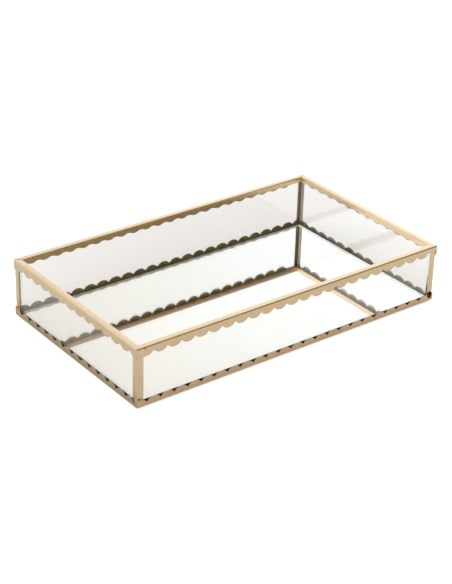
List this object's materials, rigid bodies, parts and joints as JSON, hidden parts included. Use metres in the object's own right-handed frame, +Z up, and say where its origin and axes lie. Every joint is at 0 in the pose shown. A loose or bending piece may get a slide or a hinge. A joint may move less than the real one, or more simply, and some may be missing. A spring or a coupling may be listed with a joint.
{
  "type": "vanity tray",
  "caption": "Open rectangular tray with clear glass walls, a mirror floor and a gilt metal frame with scalloped edges.",
  "frame": {"origin": "centre of the tray in plan, on the plane that its felt pads rest on", "axes": "+X along the front wall from left to right, the long way; +Y from the front wall to the back wall; +Z up"},
  "size_m": [0.3048, 0.1778, 0.0526],
  "materials": {
    "wall_glass": "clear, polished",
    "gilt_metal": "satin pale gold plate",
    "gilt_solder": "satin pale gold over solder",
    "dark_solder": "burnt flux over solder",
    "mirror_glass": "clear, polished",
    "silvering": "silvered, grey paint behind",
    "backing": "black flocked board",
    "felt": "black felt"
  },
  "bodies": {
    "root": {"front_glass": "wall_glass", "right_glass": "wall_glass", "back_glass": "wall_glass", "left_glass": "wall_glass", "front_top_rail": "gilt_metal", "right_top_rail": "gilt_metal", "back_top_rail": "gilt_metal", "left_top_rail": "gilt_metal", "front_bottom_rail": "gilt_metal", "right_bottom_rail": "gilt_metal", "back_bottom_rail": "gilt_metal", "left_bottom_rail": "gilt_metal", "front_left_post": "gilt_metal", "front_right_post": "gilt_metal", "back_right_post": "gilt_metal", "back_left_post": "gilt_metal", "upper_solder_front_left": "gilt_solder", "upper_solder_front_right": "gilt_solder", "upper_solder_back_right": "gilt_solder", "upper_solder_back_left": "gilt_solder", "lower_solder_front_left": "gilt_solder", "lower_solder_front_right": "dark_solder", "lower_solder_back_right": "gilt_solder", "lower_solder_back_left": "gilt_solder", "mirror_glass": "mirror_glass", "mirror_silvering": "silvering", "backing_board": "backing", "felt_pads": "felt"}
  },
  "joints": []
}
